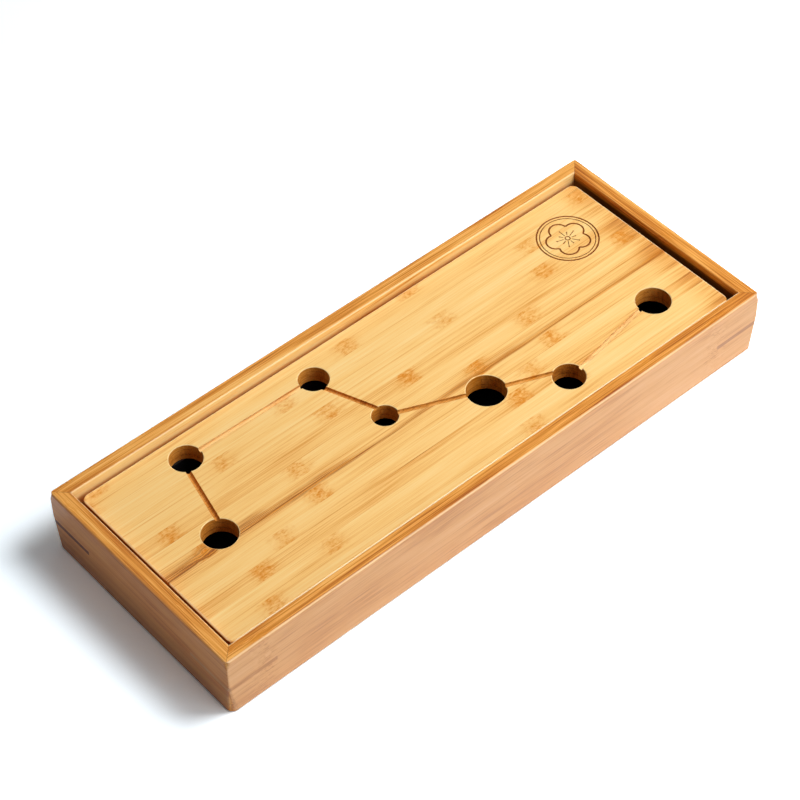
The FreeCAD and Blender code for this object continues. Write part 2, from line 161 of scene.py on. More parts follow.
# The room lights the table a little from all round. Seen directly or in a gloss
# it is plain white.
ROOM_LIGHT = 0.04
world = bpy.data.worlds.new("studio")
bpy.context.scene.world = world
world.use_nodes = True
tree = world.node_tree
tree.nodes.clear()
rays = add_node(tree, "LightPath").outputs
seen = Value(tree, rays["Is Camera Ray"])
for kind in ("Is Glossy Ray", "Is Transmission Ray"):
    seen = seen.larger(Value(tree, rays[kind]))
strength = seen * (1.0 - ROOM_LIGHT) + ROOM_LIGHT
backdrop = add_node(tree, "Background", {"Color": (1, 1, 1, 1), "Strength": strength.socket})
tree.links.new(backdrop.outputs[0], tree.nodes.new("ShaderNodeOutputWorld").inputs["Surface"])


def add_lamp(name, azimuth, elevation, distance, size, power):
    """A square soft box that looks at the middle of the table."""
    lamp = bpy.data.objects.new(name, bpy.data.lights.new(name, "AREA"))
    bpy.context.scene.collection.objects.link(lamp)
    lamp.data.shape = "SQUARE"
    lamp.data.size = size
    lamp.data.energy = power
    aim(lamp, distance * direction(azimuth, elevation), (0, 0, 0))


add_lamp("key_soft_box", azimuth=53, elevation=60, distance=1.4, size=0.64, power=16.6)
add_lamp("front_soft_box", azimuth=15, elevation=22, distance=2.0, size=1.2, power=11.5)
add_lamp("ceiling_soft_box", azimuth=180, elevation=86, distance=2.0, size=2.4, power=7)

# The table top fades to plain white well away from the table, and nothing of it
# shows from underneath.
FLOOR_SIZE = 12
FADE_START, FADE_END = 0.4, 1.4
FLOOR_WHITE, FLOOR_BOUNCE = (1.46, 1.6, 1.7, 1), (0.8, 0.8, 0.8, 1)
floor_mesh = bpy.data.meshes.new("floor")
floor_form = bmesh.new()
bmesh.ops.create_grid(floor_form, x_segments=1, y_segments=1, size=FLOOR_SIZE / 2)
floor_form.to_mesh(floor_mesh)
floor_form.free()
floor = bpy.data.objects.new("floor", floor_mesh)
bpy.context.scene.collection.objects.link(floor)
floor_material, tree, output = new_material("white_table_top")
rays = add_node(tree, "LightPath").outputs
direct = Value(tree, rays["Is Camera Ray"]).larger(Value(tree, rays["Is Glossy Ray"]))
matt_white = add_node(tree, "BsdfDiffuse", {"Color": tinted(direct, FLOOR_BOUNCE, FLOOR_WHITE)})
spot = add_node(tree, "TexCoord").outputs["Object"]
away = Value(tree, add_node(tree, "VectorMath", {0: spot}, operation="LENGTH").outputs["Value"])
fade = away.rise(FADE_START, FADE_END) * direct
glow = add_node(tree, "Emission", {"Color": (1, 1, 1, 1), "Strength": 1.0})
faded = add_node(tree, "MixShader", {0: fade.socket, 1: matt_white.outputs[0], 2: glow.outputs[0]})
underneath = add_node(tree, "NewGeometry").outputs["Backfacing"]
clear = add_node(tree, "BsdfTransparent")
table_top = add_node(tree, "MixShader", {0: underneath, 1: faded.outputs[0], 2: clear.outputs[0]})
tree.links.new(table_top.outputs[0], output.inputs["Surface"])
floor_mesh.materials.append(floor_material)


# Board: one slab laminated from bamboo strips about as wide as a thumb, lacquered
# satin. The seven drain holes, the gutters that join them and the blossom mark
# are cut into it last.
MM = 0.001
BOARD_LOW, BOARD_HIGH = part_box("tea_board")
BOARD_TOP = BOARD_HIGH.z
BOARD_CORNER, BOARD_EDGE, BOARD_FOOT = 5 * MM, 1.4 * MM, 1 * MM
HOLE_RIM = 0.5 * MM
GUTTER_WIDTH, GUTTER_DEPTH, GUTTER_RIM = 3.2 * MM, 2 * MM, 0.25 * MM
CLEAR = 5 * MM


def paint(red, green, blue):
    """Linear colour from the red, green and blue of a paint chip, 0 to 255."""
    def linear(part):
        share = part / 255
        return share / 12.92 if share <= 0.04045 else ((share + 0.055) / 1.055) ** 2.4
    return (linear(red), linear(green), linear(blue), 1.0)


def noise(along, across, up, detail=2.0):
    """Cloudy variation from 0 to 1. A place that changes slowly stretches the clouds that way."""
    places = {axis: getattr(place, "socket", place) for axis, place in enumerate((along, across, up))}
    where = add_node(along.tree, "CombineXYZ", places)
    clouds = add_node(along.tree, "TexNoise", {"Vector": where.outputs[0], "Scale": 1.0,
                                               "Detail": detail})
    return Value(along.tree, clouds.outputs["Fac"])


def ramp(value, entries, interpolation="LINEAR"):
    """Colour at a value, from a list of places between 0 and 1 with the colour at each."""
    table = add_node(value.tree, "ValToRGB", {"Fac": value.socket})
    table.color_ramp.interpolation = interpolation
    stops = table.color_ramp.elements
    stops.remove(stops[1])
    stops[0].position, stops[0].color = entries[0]
    for place, colour in entries[1:]:
        stops.new(place).color = colour
    return table.outputs["Color"]


def fine_line(distances, spacing, start, end):
    """Lines at every whole spacing of a distance: 1 on the line, 0 from the end of its soft edge."""
    place = distances / spacing
    to_line = (0.5 - abs(place.worked("FRACT", place) - 0.5)) * spacing
    return 1.0 - to_line.rise(start, end)


NODE_ORANGE, NODE_DASH = paint(228, 140, 6), paint(206, 116, 8)


def bamboo_material(name, tones, strips, pitch, first, turn=0, offset=0, seed=0, grain=1, nodes=1,
                    plies=None, darker=None, details=(), roughness=0.42, coat=0.25):
    """Laminated bamboo, measured in millimetres along the grain, across the strips and upwards,
    after a turn about Z and a shift across. Each strip has the place of one node, the distance
    between its nodes and a tone. The strips start at first, and plies gives the height of a
    slab's plies and where they start. Darker names a direction, the two places between which
    the wood darkens that way, and by how much. Details are functions that paint more on it."""
    material, tree, output = new_material(name)
    surface = add_node(tree, "TexCoord").outputs["Object"]
    measured = add_node(tree, "Mapping", {"Vector": surface, "Scale": (1 / MM,) * 3,
                                          "Rotation": (0, 0, math.radians(turn)),
                                          "Location": (0, offset, 0)})
    axes = add_node(tree, "SeparateXYZ", {0: measured.outputs[0]}).outputs
    along, across, up = (Value(tree, axis) for axis in axes)

    # What differs from strip to strip is kept in the three colours of a table
    strip = (across - first) / pitch
    strip = strip.worked("FLOOR", strip)
    rows = [(row / len(strips), (0.5 + place * MM, spacing * MM, tone, 1))
            for row, (place, spacing, tone) in enumerate(strips)]
    found = ramp((strip + 0.5) / len(strips), rows, "CONSTANT")
    entry = add_node(tree, "SeparateColor", {0: found}).outputs
    node_place = (Value(tree, entry[0]) - 0.5) / MM
    half_spacing = Value(tree, entry[1]) / (2 * MM)
    tone = Value(tree, entry[2])
    shifted = along + strip * 61.7 + seed * 211.0

    # Nodes: a soft darker patch across the strip, stippled where the fibres swirl
    ragged = (noise(shifted * 0.1, across * 0.25, up) - 0.5) * 9
    distance = ragged + along.worked("WRAP", along - node_place, half_spacing, half_spacing * -1)
    near = distance.worked("EXPONENT", distance * distance / -42) * (1.45 - tone)
    swirl = noise(shifted * 0.09, across * 0.16, up * 0.1) - 0.5
    bent = across + near * swirl * 5
    blotch = noise(shifted * 0.3, bent * 0.4, up * 0.3).rise(0.35, 0.65)
    stipple = noise(shifted * 0.55, bent * 1.3, up).rise(0.4, 0.68)
    node_dark = near * (0.25 + (blotch + stipple) * 0.5)

    # Fibres: long streaks at four widths
    fine = noise(shifted * 0.035, bent * 2.6, up * 1.3, detail=3)
    broad = noise(shifted * 0.006, bent * 0.75, up * 0.28, detail=3)
    cloud = noise(shifted * 0.011, bent * 0.1, up * 0.05)
    hair = noise(shifted * 0.009, bent * 1.7, up).rise(0.56, 0.7)
    fibres = (fine - 0.5) * 0.75 + (broad - 0.5) * 0.65 + (cloud - 0.5) * 0.6 - hair * 0.13

    # Glue lines between the strips, and between the plies of a slab
    level = 0.56 + (tone - 0.6) * 0.4 + fibres * grain - node_dark * (0.17 * nodes)
    level = level - fine_line(across - first, pitch, 0.08, 0.3) * 0.09
    if plies:
        ply_height, ply_first = plies
        level = level - fine_line(up - ply_first, ply_height, 0.05, 0.25) * 0.3
    if darker:
        way, low, high, drop = darker
        level = level - {"along": along, "up": up}[way].rise(low, high) * drop

    colour = tinted(node_dark * (0.68 * nodes), ramp(level, tones), NODE_ORANGE)
    colour = tinted(near * stipple * blotch * (0.5 * nodes), colour, NODE_DASH)
    wood = SimpleNamespace(along=along, across=across, up=up, bent=bent, level=level)
    for detail in details:
        colour = detail(wood, colour)

    bump = add_node(tree, "Bump", {"Height": (fine * 0.6 + broad * 0.4).socket, "Strength": 0.22,
                                   "Distance": 0.12 * MM})
    gloss = (fine - 0.5) * 0.2 + roughness
    lacquer = add_node(tree, "BsdfPrincipled", {"Base Color": colour, "Roughness": gloss.socket,
                                                "Specular IOR Level": 0.2, "Normal": bump.outputs[0],
                                                "Coat Weight": coat, "Coat Roughness": 0.18})
    tree.links.new(lacquer.outputs[0], output.inputs["Surface"])
    return material


# The board's upper edges carry a painted pale highlight, and its ends show the dark ends of the
# fibres, darkened further as painted shade for the gaps beside them
HALF_LENGTH, HALF_WIDTH, TOP = BOARD_HIGH.x / MM, BOARD_HIGH.y / MM, BOARD_TOP / MM
BOARD_EDGE_HIGHLIGHT, END_GRAIN_AND_GAP_SHADE = paint(255, 238, 194), paint(128, 58, 10)


def board_edges(wood, colour):
    end = abs(wood.along)
    side_edge = abs(wood.across).rise(HALF_WIDTH - 1.4, HALF_WIDTH - 0.7)
    end_edge = end.rise(HALF_LENGTH - 1.4, HALF_LENGTH - 0.8)
    # Painted highlight along the board's rounded upper edges
    painted_highlight = side_edge.larger(end_edge) * wood.up.rise(TOP - 1.3, TOP - 0.5)
    colour = tinted(painted_highlight * 0.6, colour, BOARD_EDGE_HIGHLIGHT)
    # End faces below the top: dark end grain, and painted shade for the gaps at the board's ends
    pores = 0.72 + noise(wood.along, wood.across * 2.2, wood.up * 2.2) * 0.4
    end_face = end.rise(HALF_LENGTH - 1.1, HALF_LENGTH - 0.6)
    end_face = end_face * (1.0 - wood.up.rise(TOP - 0.9, TOP - 0.3))
    return tinted(pores * end_face, colour, END_GRAIN_AND_GAP_SHADE)


# A streak of the cane's dark skin lies along the lower edge of one strip: where
# that edge is, and how wide the streak is at places along the board
STREAK_EDGE = -13.65
STREAK_WIDTHS = [
    (-185, 9.0), (-135, 9.5), (-100, 6.5), (-78, 6.5), (-35, 3.0), (0, 5.0), (40, 7.0), (85, 5.4),
    (125, 4.4), (185, 6.5),
]
WIDEST, STREAK_RUN = 10, 400
SKIN_BROWN, THREAD_BROWN = paint(224, 136, 10), paint(124, 54, 0)


def skin_streak(wood, colour):
    widths = [(0.5 + place / STREAK_RUN, (width / WIDEST,) * 3 + (1,)) for place, width in STREAK_WIDTHS]
    width = Value(wood.along.tree, ramp(wood.along / STREAK_RUN + 0.5, widths, "EASE")) * WIDEST
    width = width * (0.5 + noise(wood.along * 0.05, wood.across, wood.up))
    wave = (noise(wood.along * 0.015, 0.0, 0.0) - 0.5) * 3.0
    height = wood.bent - STREAK_EDGE - wave
    skin = height.rise(-0.5, 1.5) * (1.0 - (height / width).rise(0.1, 1.1))
    threads = noise(wood.along * 0.026, wood.bent * 3.1, wood.up, detail=3).rise(0.43, 0.55)
    threads = threads * (1.0 - wood.along.rise(-60, 50) * 0.42)
    colour = tinted(skin * (0.6 + threads * 0.36), colour, SKIN_BROWN)
    edge_line = 1.0 - abs(height - 1.1).rise(0.15, 0.6)
    colour = tinted(edge_line * skin * (0.05 + threads * 0.4), colour, THREAD_BROWN)
    return tinted(skin * threads * 0.9, colour, THREAD_BROWN)


# Where one node lies along each strip, how far apart the strip's nodes are, and
# how pale it is, from the front strip to the back one
STRIP_PITCH, FIRST_STRIP = 10.6, -66.65
BOARD_STRIPS = [
    (-155, 190, 0.62), (-105, 182, 0.80), (43, 188, 0.32), (63, 185, 0.72), (88, 176, 0.42),
    (40, 200, 0.35), (89, 174, 0.60), (5, 172, 0.42), (-45, 167, 0.60), (-114, 165, 0.80),
    (129, 189, 0.78), (-5, 186, 0.74), (50, 228, 0.64),
]
BOARD_PLIES = (4.2, 28.45)
DARKER_END = ("along", HALF_LENGTH - 23, HALF_LENGTH - 3, 0.24)
BAMBOO_TONES = [
    (0.0, paint(176, 102, 32)), (0.25, paint(229, 160, 74)), (0.5, paint(250, 200, 119)),
    (0.75, paint(253, 212, 138)), (1.0, paint(255, 224, 158)),
]
board_bamboo = bamboo_material("board_bamboo", BAMBOO_TONES, BOARD_STRIPS, STRIP_PITCH, FIRST_STRIP,
                               plies=BOARD_PLIES, darker=DARKER_END,
                               details=(board_edges, skin_streak))


def cut_bamboo(name, tones, roughness=0.7, **features):
    """The board's bamboo where it is cut and has no lacquer."""
    return bamboo_material(name, tones, BOARD_STRIPS, STRIP_PITCH, FIRST_STRIP,
                           roughness=roughness, coat=0, **features)


# Routed faces are as pale as the top where they follow the fibres, and darker where they cut across
# them, partly as cut wood and partly as painted shade for the gutter walls that lie in shade. Towards
# the top of the walls they darken as painted shade, by the share given.
GUTTER_SHADE_FROM, GUTTER_SHADE_TO = TOP - 1.6, TOP - 0.3
ROUTED_FACES = {
    "routed_in_line": (0.46, paint(188, 104, 18), paint(251, 203, 130), paint(254, 224, 160)),
    "routed_along": (0.2, paint(202, 134, 60), paint(253, 213, 144), paint(254, 226, 166)),
    "routed_aslant": (0.2, paint(150, 78, 16), paint(220, 152, 66), paint(246, 196, 116)),
    "routed_across": (0.1, paint(104, 42, 4), paint(214, 138, 52), paint(242, 186, 108)),
}
routed_in_line, routed_along, routed_aslant, routed_across = (
    cut_bamboo(name, [(0.0, dark), (0.5, middling), (1.0, pale)],
               darker=("up", GUTTER_SHADE_FROM, GUTTER_SHADE_TO, shade_drop))
    for name, (shade_drop, dark, middling, pale) in ROUTED_FACES.items())

# Drilled walls are darker, partly as cut wood and partly as painted shade inside the holes,
# with a painted pale highlight round the rim
DRILLED_TONES = [
    (0.0, paint(112, 52, 6)), (0.25, paint(172, 96, 22)), (0.5, paint(212, 136, 48)),
    (0.8, paint(232, 164, 76)), (1.0, paint(253, 218, 152)),
]
RIM_HIGHLIGHT = ("up", TOP - 0.55, TOP - 0.25, -0.9)
drilled_bamboo = cut_bamboo("drilled_bamboo", DRILLED_TONES, plies=BOARD_PLIES, darker=RIM_HIGHLIGHT)
BURNT_TONES = [(0.0, paint(96, 44, 10)), (0.5, paint(142, 76, 26)), (1.0, paint(168, 98, 42))]
burnt_bamboo = cut_bamboo("burnt_bamboo", BURNT_TONES, roughness=0.75)


def new_piece(name, form, *materials):
    """Makes an object of a finished bmesh, with its materials."""
    mesh = bpy.data.meshes.new(name)
    form.to_mesh(mesh)
    form.free()
    piece = bpy.data.objects.new(name, mesh)
    bpy.context.scene.collection.objects.link(piece)
    for material in materials:
        mesh.materials.append(material)
    return piece


def cut_away(piece, cutter):
    """Cuts one piece out of another. The cut faces keep the cutter's material."""
    cut = piece.modifiers.new("cut", "BOOLEAN")
    cut.object = cutter
    cut.operation = "DIFFERENCE"
    cut.solver = "EXACT"
    cut.use_self = True
    cut.material_mode = "TRANSFER"
    whole = piece.evaluated_get(bpy.context.evaluated_depsgraph_get())
    kept = bpy.data.meshes.new_from_object(whole)
    piece.modifiers.clear()
    piece.data = kept
    bpy.data.objects.remove(cutter)


def turn_round(form, profile, centre, steps, closed=False):
    """Turns an outline of distances and heights full circle round an upright line."""
    corners = [form.verts.new((centre[0] + away, centre[1], height)) for away, height in profile]
    outline = [form.edges.new(pair) for pair in zip(corners, corners[1:])]
    if closed:
        outline.append(form.edges.new((corners[-1], corners[0])))
    bmesh.ops.spin(form, geom=corners + outline, cent=(*centre, 0), axis=(0, 0, 1), angle=math.tau,
                   steps=steps, use_merge=True, use_duplicate=False)


def prism(form, outline, shift):
    """Extrudes a flat outline of points by a shift."""
    face = form.faces.new([form.verts.new(point) for point in outline])
    grown = bmesh.ops.extrude_face_region(form, geom=[face])["geom"]
    corners = [part for part in grown if isinstance(part, bmesh.types.BMVert)]
    bmesh.ops.translate(form, vec=shift, verts=corners)


def close_up(form):
    """Merges doubled corners and points every face outwards."""
    bmesh.ops.remove_doubles(form, verts=form.verts, dist=0.001 * MM)
    bmesh.ops.recalc_face_normals(form, faces=form.faces)


def round_off(form, edges, radius, segments):
    bmesh.ops.bevel(form, geom=edges, offset=radius, segments=segments, affect="EDGES", profile=0.5,
                    material=-1, offset_type="OFFSET")


def edges_at(form, height):
    """Edges that lie at one height."""
    return [edge for edge in form.edges
            if all(abs(corner.co.z - height) < 0.001 * MM for corner in edge.verts)]


slab = bmesh.new()
bmesh.ops.create_cube(slab, size=1)
bmesh.ops.scale(slab, vec=BOARD_HIGH - BOARD_LOW, verts=slab.verts)
bmesh.ops.translate(slab, vec=(BOARD_HIGH + BOARD_LOW) / 2, verts=slab.verts)
upright = [edge for edge in slab.edges if abs(edge.verts[0].co.z - edge.verts[1].co.z) > MM]
round_off(slab, upright, BOARD_CORNER, 10)
round_off(slab, edges_at(slab, BOARD_TOP), BOARD_EDGE, 5)
round_off(slab, edges_at(slab, BOARD_LOW.z), BOARD_FOOT, 2)
board = new_piece("drain_board", slab, board_bamboo)

# The drain holes in the order that the gutters join them: centre and diameter
DRAIN_HOLES = [
    ((-145.9, -4.3), 21.2), ((-126.6, 50.3), 19.6), ((-35.3, 48.5), 18.4), ((-23.1, 0.2), 15.8),
    ((32.3, -24.1), 23.8), ((74.9, -47.7), 19.7), ((153.2, -37.3), 21.4),
]
drills = bmesh.new()
for (right, back), diameter in DRAIN_HOLES:
    radius = diameter / 2 * MM
    rim = [(radius + HOLE_RIM * (1 + math.cos(turn)), BOARD_TOP + HOLE_RIM * (math.sin(turn) - 0.98))
           for turn in (math.pi, math.pi * 5 / 6, math.pi * 2 / 3, math.pi / 2)]
    profile = [(0, BOARD_LOW.z - CLEAR), (radius, BOARD_LOW.z - CLEAR), *rim,
               (radius + HOLE_RIM, BOARD_TOP + CLEAR), (0, BOARD_TOP + CLEAR)]
    turn_round(drills, profile, (right * MM, back * MM), 72)
close_up(drills)
cut_away(board, new_piece("drills", drills, drilled_bamboo))

# The router's section: a round bottom, upright sides and a softened rim
bowl_radius = GUTTER_WIDTH / 2 - GUTTER_RIM
bowl = [(bowl_radius * math.cos(turn), bowl_radius - GUTTER_DEPTH - bowl_radius * math.sin(turn))
        for turn in (math.pi * step / 10 for step in range(1, 10))]
rim = [(bowl_radius + GUTTER_RIM, CLEAR), (bowl_radius + GUTTER_RIM, 0.01 * MM),
       (bowl_radius + GUTTER_RIM * 0.3, -GUTTER_RIM * 0.3), (bowl_radius, -GUTTER_RIM)]
router_section = [*rim, *bowl, *((-away, height) for away, height in reversed(rim))]

# The gutters from hole to hole: how far each passes to the left of its two holes'
# centres, and whether it is cut along the fibres or across them, which also sets how
# much painted shade its walls get
GUTTERS = [
    (-3.1, 2.8, routed_across), (0, 0, routed_in_line), (-3.4, 2.8, routed_across),
    (0, 0, routed_aslant), (0, 5.4, routed_aslant), (-1.0, 1.8, routed_along),
]
for (start, _), (finish, _), gutter in zip(DRAIN_HOLES, DRAIN_HOLES[1:], GUTTERS):
    start_aside, finish_aside, cut_face = gutter
    start, finish = Vector((*start, 0)) * MM, Vector((*finish, 0)) * MM
    left = Vector((start.y - finish.y, finish.x - start.x, 0)).normalized()
    start, finish = start + left * start_aside * MM, finish + left * finish_aside * MM
    run = finish - start
    side = Vector((-run.y, run.x, 0)).normalized()
    router = bmesh.new()
    prism(router, [start + side * away + Vector((0, 0, BOARD_TOP + height))
                   for away, height in router_section], run)
    close_up(router)
    cut_away(board, new_piece("router", router, cut_face))

# Blossom mark: a five-petalled blossom in a double ring, cut with a fine V point
MARK_CENTRE = (151.9 * MM, 33.9 * MM)
OUTER_RINGS = ((18.8 * MM, 1.0 * MM), (16.9 * MM, 0.6 * MM))
HEART_RADIUS, HEART_WIDTH = 1.5 * MM, 0.7 * MM
LINE_WIDTH, LINE_DEPTH, LINE_ABOVE = 1.1 * MM, 0.5 * MM, 0.1 * MM
PETALS, PETAL_AWAY, PETAL_RADIUS = 5, 7.9 * MM, 5.9 * MM
STAMEN_FROM, LONG_STAMEN, SHORT_STAMEN = 2.6 * MM, 6.6 * MM, 4.6 * MM
STAMEN_WIDTH, STAMEN_TIP = 0.5 * MM, 0.6 * MM


def v_point(radius, width=LINE_WIDTH):
    """Section of an engraved line, as distances from the centre it goes round and heights."""
    half = width / 2 + LINE_ABOVE / LINE_DEPTH * width / 2
    return [(radius - half, BOARD_TOP + LINE_ABOVE), (radius, BOARD_TOP - LINE_DEPTH),
            (radius + half, BOARD_TOP + LINE_ABOVE)]


def engrave_arc(form, centre, radius, start, sweep):
    heading = Vector((math.cos(start), math.sin(start), 0))
    middle = Vector((*centre, 0))
    face = form.faces.new([form.verts.new(middle + heading * away + Vector((0, 0, height)))
                           for away, height in v_point(radius)])
    bmesh.ops.spin(form, geom=[face, *face.edges, *face.verts], cent=middle, axis=(0, 0, 1),
                   angle=sweep, steps=24, use_merge=False, use_duplicate=False)


def engrave_line(form, start, finish, width):
    run = Vector((*finish, 0)) - Vector((*start, 0))
    side = Vector((-run.y, run.x, 0)).normalized()
    prism(form, [Vector((*start, 0)) + side * away + Vector((0, 0, height))
                 for away, height in v_point(0, width)], run)


engraver = bmesh.new()
for ring_radius, ring_width in OUTER_RINGS:
    turn_round(engraver, v_point(ring_radius, ring_width), MARK_CENTRE, 96, closed=True)

# Each petal is an arc that ends where it meets its neighbours
overlap = math.acos(PETAL_AWAY * math.sin(math.pi / PETALS) / PETAL_RADIUS)
half_sweep = math.pi / 2 + math.pi / PETALS - overlap
middle = Vector(MARK_CENTRE)
for petal in range(PETALS):
    heading = math.pi / 2 + petal * math.tau / PETALS
    centre = middle + PETAL_AWAY * Vector((math.cos(heading), math.sin(heading)))
    engrave_arc(engraver, centre, PETAL_RADIUS, heading - half_sweep, 2 * half_sweep)

# The heart is a small ring, with stamens of two lengths round it that end in dots
turn_round(engraver, v_point(HEART_RADIUS, HEART_WIDTH), MARK_CENTRE, 32, closed=True)
for stamen in range(2 * PETALS):
    heading = math.pi / 2 + stamen * math.tau / (2 * PETALS)
    reach = SHORT_STAMEN if stamen % 2 else LONG_STAMEN
    spoke = Vector((math.cos(heading), math.sin(heading)))
    engrave_line(engraver, middle + spoke * STAMEN_FROM, middle + spoke * reach, STAMEN_WIDTH)
    turn_round(engraver, [(0, BOARD_TOP - LINE_DEPTH), (STAMEN_TIP, BOARD_TOP + LINE_ABOVE),
                          (0, BOARD_TOP + LINE_ABOVE)], middle + spoke * (reach + STAMEN_WIDTH), 12)
close_up(engraver)
cut_away(board, new_piece("engraver", engraver, burnt_bamboo))


SHARP_ANGLE = math.radians(35)


def shade(piece):
    """Smooth shading that stays crisp at the corners and flat on the wide faces."""
    piece.data.shade_smooth()
    piece.data.set_sharp_from_angle(angle=SHARP_ANGLE)
    evened = piece.modifiers.new("evened_shading", "WEIGHTED_NORMAL")
    evened.keep_sharp = True


shade(board)
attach(board, "board")
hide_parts("tea_board")


# Rails: four mitred lengths of bamboo, each of upright plies, so the wide outer
# ply shows on the sides and the edges of the plies show along the rim. The mitres
# are glued, and the rim is rounded, with a painted pale highlight along its edges.
TABLE_LENGTH = (cad_high.x - cad_low.x) / MM
TABLE_WIDTH = (cad_high.y - cad_low.y) / MM
PLY, FIRST_PLY = 4.9, -0.4
RIM_WIDTH, RIM_TOP, LEDGE_TOP = 9, 45.8, 27.5
RAIL_TONES = [
    (0.0, paint(148, 72, 12)), (0.25, paint(192, 110, 30)), (0.5, paint(214, 138, 50)),
    (0.75, paint(238, 166, 76)), (1.0, paint(248, 190, 106)),
]
PALE_SIDE = [
    (0.0, paint(198, 137, 83)), (0.25, paint(215, 154, 97)), (0.5, paint(226, 168, 110)),
    (1.0, paint(233, 181, 128)),
]
# Painted shade: the left rail's outer side is a darker copy of the pale side, for the shade it lies in
SHADED_SIDE = [
    (0.0, paint(154, 82, 32)), (0.25, paint(188, 109, 47)), (0.5, paint(211, 131, 63)),
    (1.0, paint(228, 156, 86)),
]
INNER_SIDE = [
    (0.0, paint(214, 140, 60)), (0.25, paint(240, 178, 94)), (0.5, paint(252, 204, 126)),
    (1.0, paint(254, 220, 152)),
]
# Painted shade: the end rails' inner sides, facing the gaps at the board's ends, are a darker copy of
# the inner side
SHADED_INNER_SIDE = [
    (0.0, paint(162, 84, 16)), (0.25, paint(203, 118, 26)), (0.5, paint(229, 147, 43)),
    (1.0, paint(240, 168, 66)),
]
# Painted shade for the gap between the board and the rails: lighter on the long rails, darker on the end
# rails
LIGHT_GAP_SHADE, DARK_GAP_SHADE = paint(172, 82, 0), paint(58, 20, 2)
# Painted shade at the foot, a painted highlight for the rim's edges, and the brown of the mitre seams
FOOT_SHADE, RAIL_EDGE_HIGHLIGHT, SEAM_BROWN = paint(96, 44, 12), paint(255, 230, 182), paint(120, 62, 20)

# Each rail's turn, its length and the distance between it and the rail opposite, the
# tones of its outer and inner sides, with darker copies as painted shade, how much shade is
# painted at its foot, up to where shade is painted on the inside and how brown, how strong the
# painted highlight on its outer and inner edges is, and its plies' tones
RAILS = {
    "front_rail": dict(turn=0, run=TABLE_LENGTH, apart=TABLE_WIDTH, outer=PALE_SIDE, inner=INNER_SIDE,
                       foot=0, gap_shade=(40, LIGHT_GAP_SHADE), painted_highlight=(0.45, 0.85), plies=(0.42, 0.6)),
    "back_rail": dict(turn=180, run=TABLE_LENGTH, apart=TABLE_WIDTH, outer=PALE_SIDE, inner=INNER_SIDE,
                      foot=0, gap_shade=(40, LIGHT_GAP_SHADE), painted_highlight=(0.1, 0.4), plies=(0.95, 1.15)),
    "left_rail": dict(turn=90, run=TABLE_WIDTH, apart=TABLE_LENGTH, outer=SHADED_SIDE, inner=SHADED_INNER_SIDE,
                      foot=0.36, gap_shade=(40.4, DARK_GAP_SHADE), painted_highlight=(0.05, 0.4), plies=(0.95, 1.0)),
    "right_rail": dict(turn=-90, run=TABLE_WIDTH, apart=TABLE_LENGTH, outer=PALE_SIDE, inner=SHADED_INNER_SIDE,
                       foot=0, gap_shade=(43.2, DARK_GAP_SHADE), painted_highlight=(0, 0.04), plies=(0.58, 0.66)),
}


def rail_faces(rail):
    """What a rail's sides, rim edges and mitres have beyond the plies, with painted shade and
    highlights, as a detail of its bamboo.
    """
    gap_shade_top, gap_shade_brown = rail["gap_shade"]
    outer_highlight, inner_highlight = rail["painted_highlight"]

    def finish_faces(wood, colour):
        across, up = wood.across, wood.up
        inside = across.rise(0.2, 1.0)
        colour = tinted(inside, ramp(wood.level, rail["outer"]), colour)
        # Painted shade towards the foot of the outer side
        foot = (1.0 - up.rise(6, 30)) * (1.0 - inside)
        colour = tinted(foot * rail["foot"], colour, FOOT_SHADE)
        inner_side = across.rise(RIM_WIDTH - 0.4, RIM_WIDTH - 0.1)
        colour = tinted(inner_side, colour, ramp(wood.level, rail["inner"]))
        # Painted shade on the inner side from the ledge up, in the gap beside the board
        gap_shaded = up.rise(LEDGE_TOP + 0.1, LEDGE_TOP + 3.5) - up.rise(gap_shade_top - 4, gap_shade_top)
        gap_shaded = gap_shaded * across.rise(RIM_WIDTH - 0.2, RIM_WIDTH - 0.05)
        colour = tinted(gap_shaded * 0.8, colour, gap_shade_brown)
        # Painted highlight along the rim's outer and inner edges
        outer_edge = (1.0 - across.rise(0.5, 1.5)) * outer_highlight
        inner_edge = across.rise(RIM_WIDTH - 0.9, RIM_WIDTH - 0.4) * inner_highlight
        painted_highlight = outer_edge.larger(inner_edge) * up.rise(RIM_TOP - 1.1, RIM_TOP - 0.4)
        colour = tinted(painted_highlight, colour, RAIL_EDGE_HIGHLIGHT)
        to_mitre = rail["run"] / 2 - across - abs(wood.along)
        seam = (1.0 - to_mitre.rise(0.06, 0.3)) * across.rise(0.8, 1.6)
        return tinted(seam * 0.55, colour, SEAM_BROWN)

    return finish_faces


def dress(node, material):
    """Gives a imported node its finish."""
    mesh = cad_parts[node].data
    mesh.materials.clear()
    mesh.materials.append(material)


for number, (node, rail) in enumerate(RAILS.items()):
    outer_tone, inner_tone = rail["plies"]
    rail_plies = [(-176 + 57 * number, 341, outer_tone), (112 - 40 * number, 300, inner_tone),
                  (10, 320, inner_tone), (60, 310, outer_tone)]
    dress(node, bamboo_material(node + "_bamboo", RAIL_TONES, rail_plies, PLY, FIRST_PLY,
                                turn=rail["turn"], offset=rail["apart"] / 2, seed=number + 3,
                                grain=2.1, nodes=0.5, details=[rail_faces(rail)], coat=0.15))


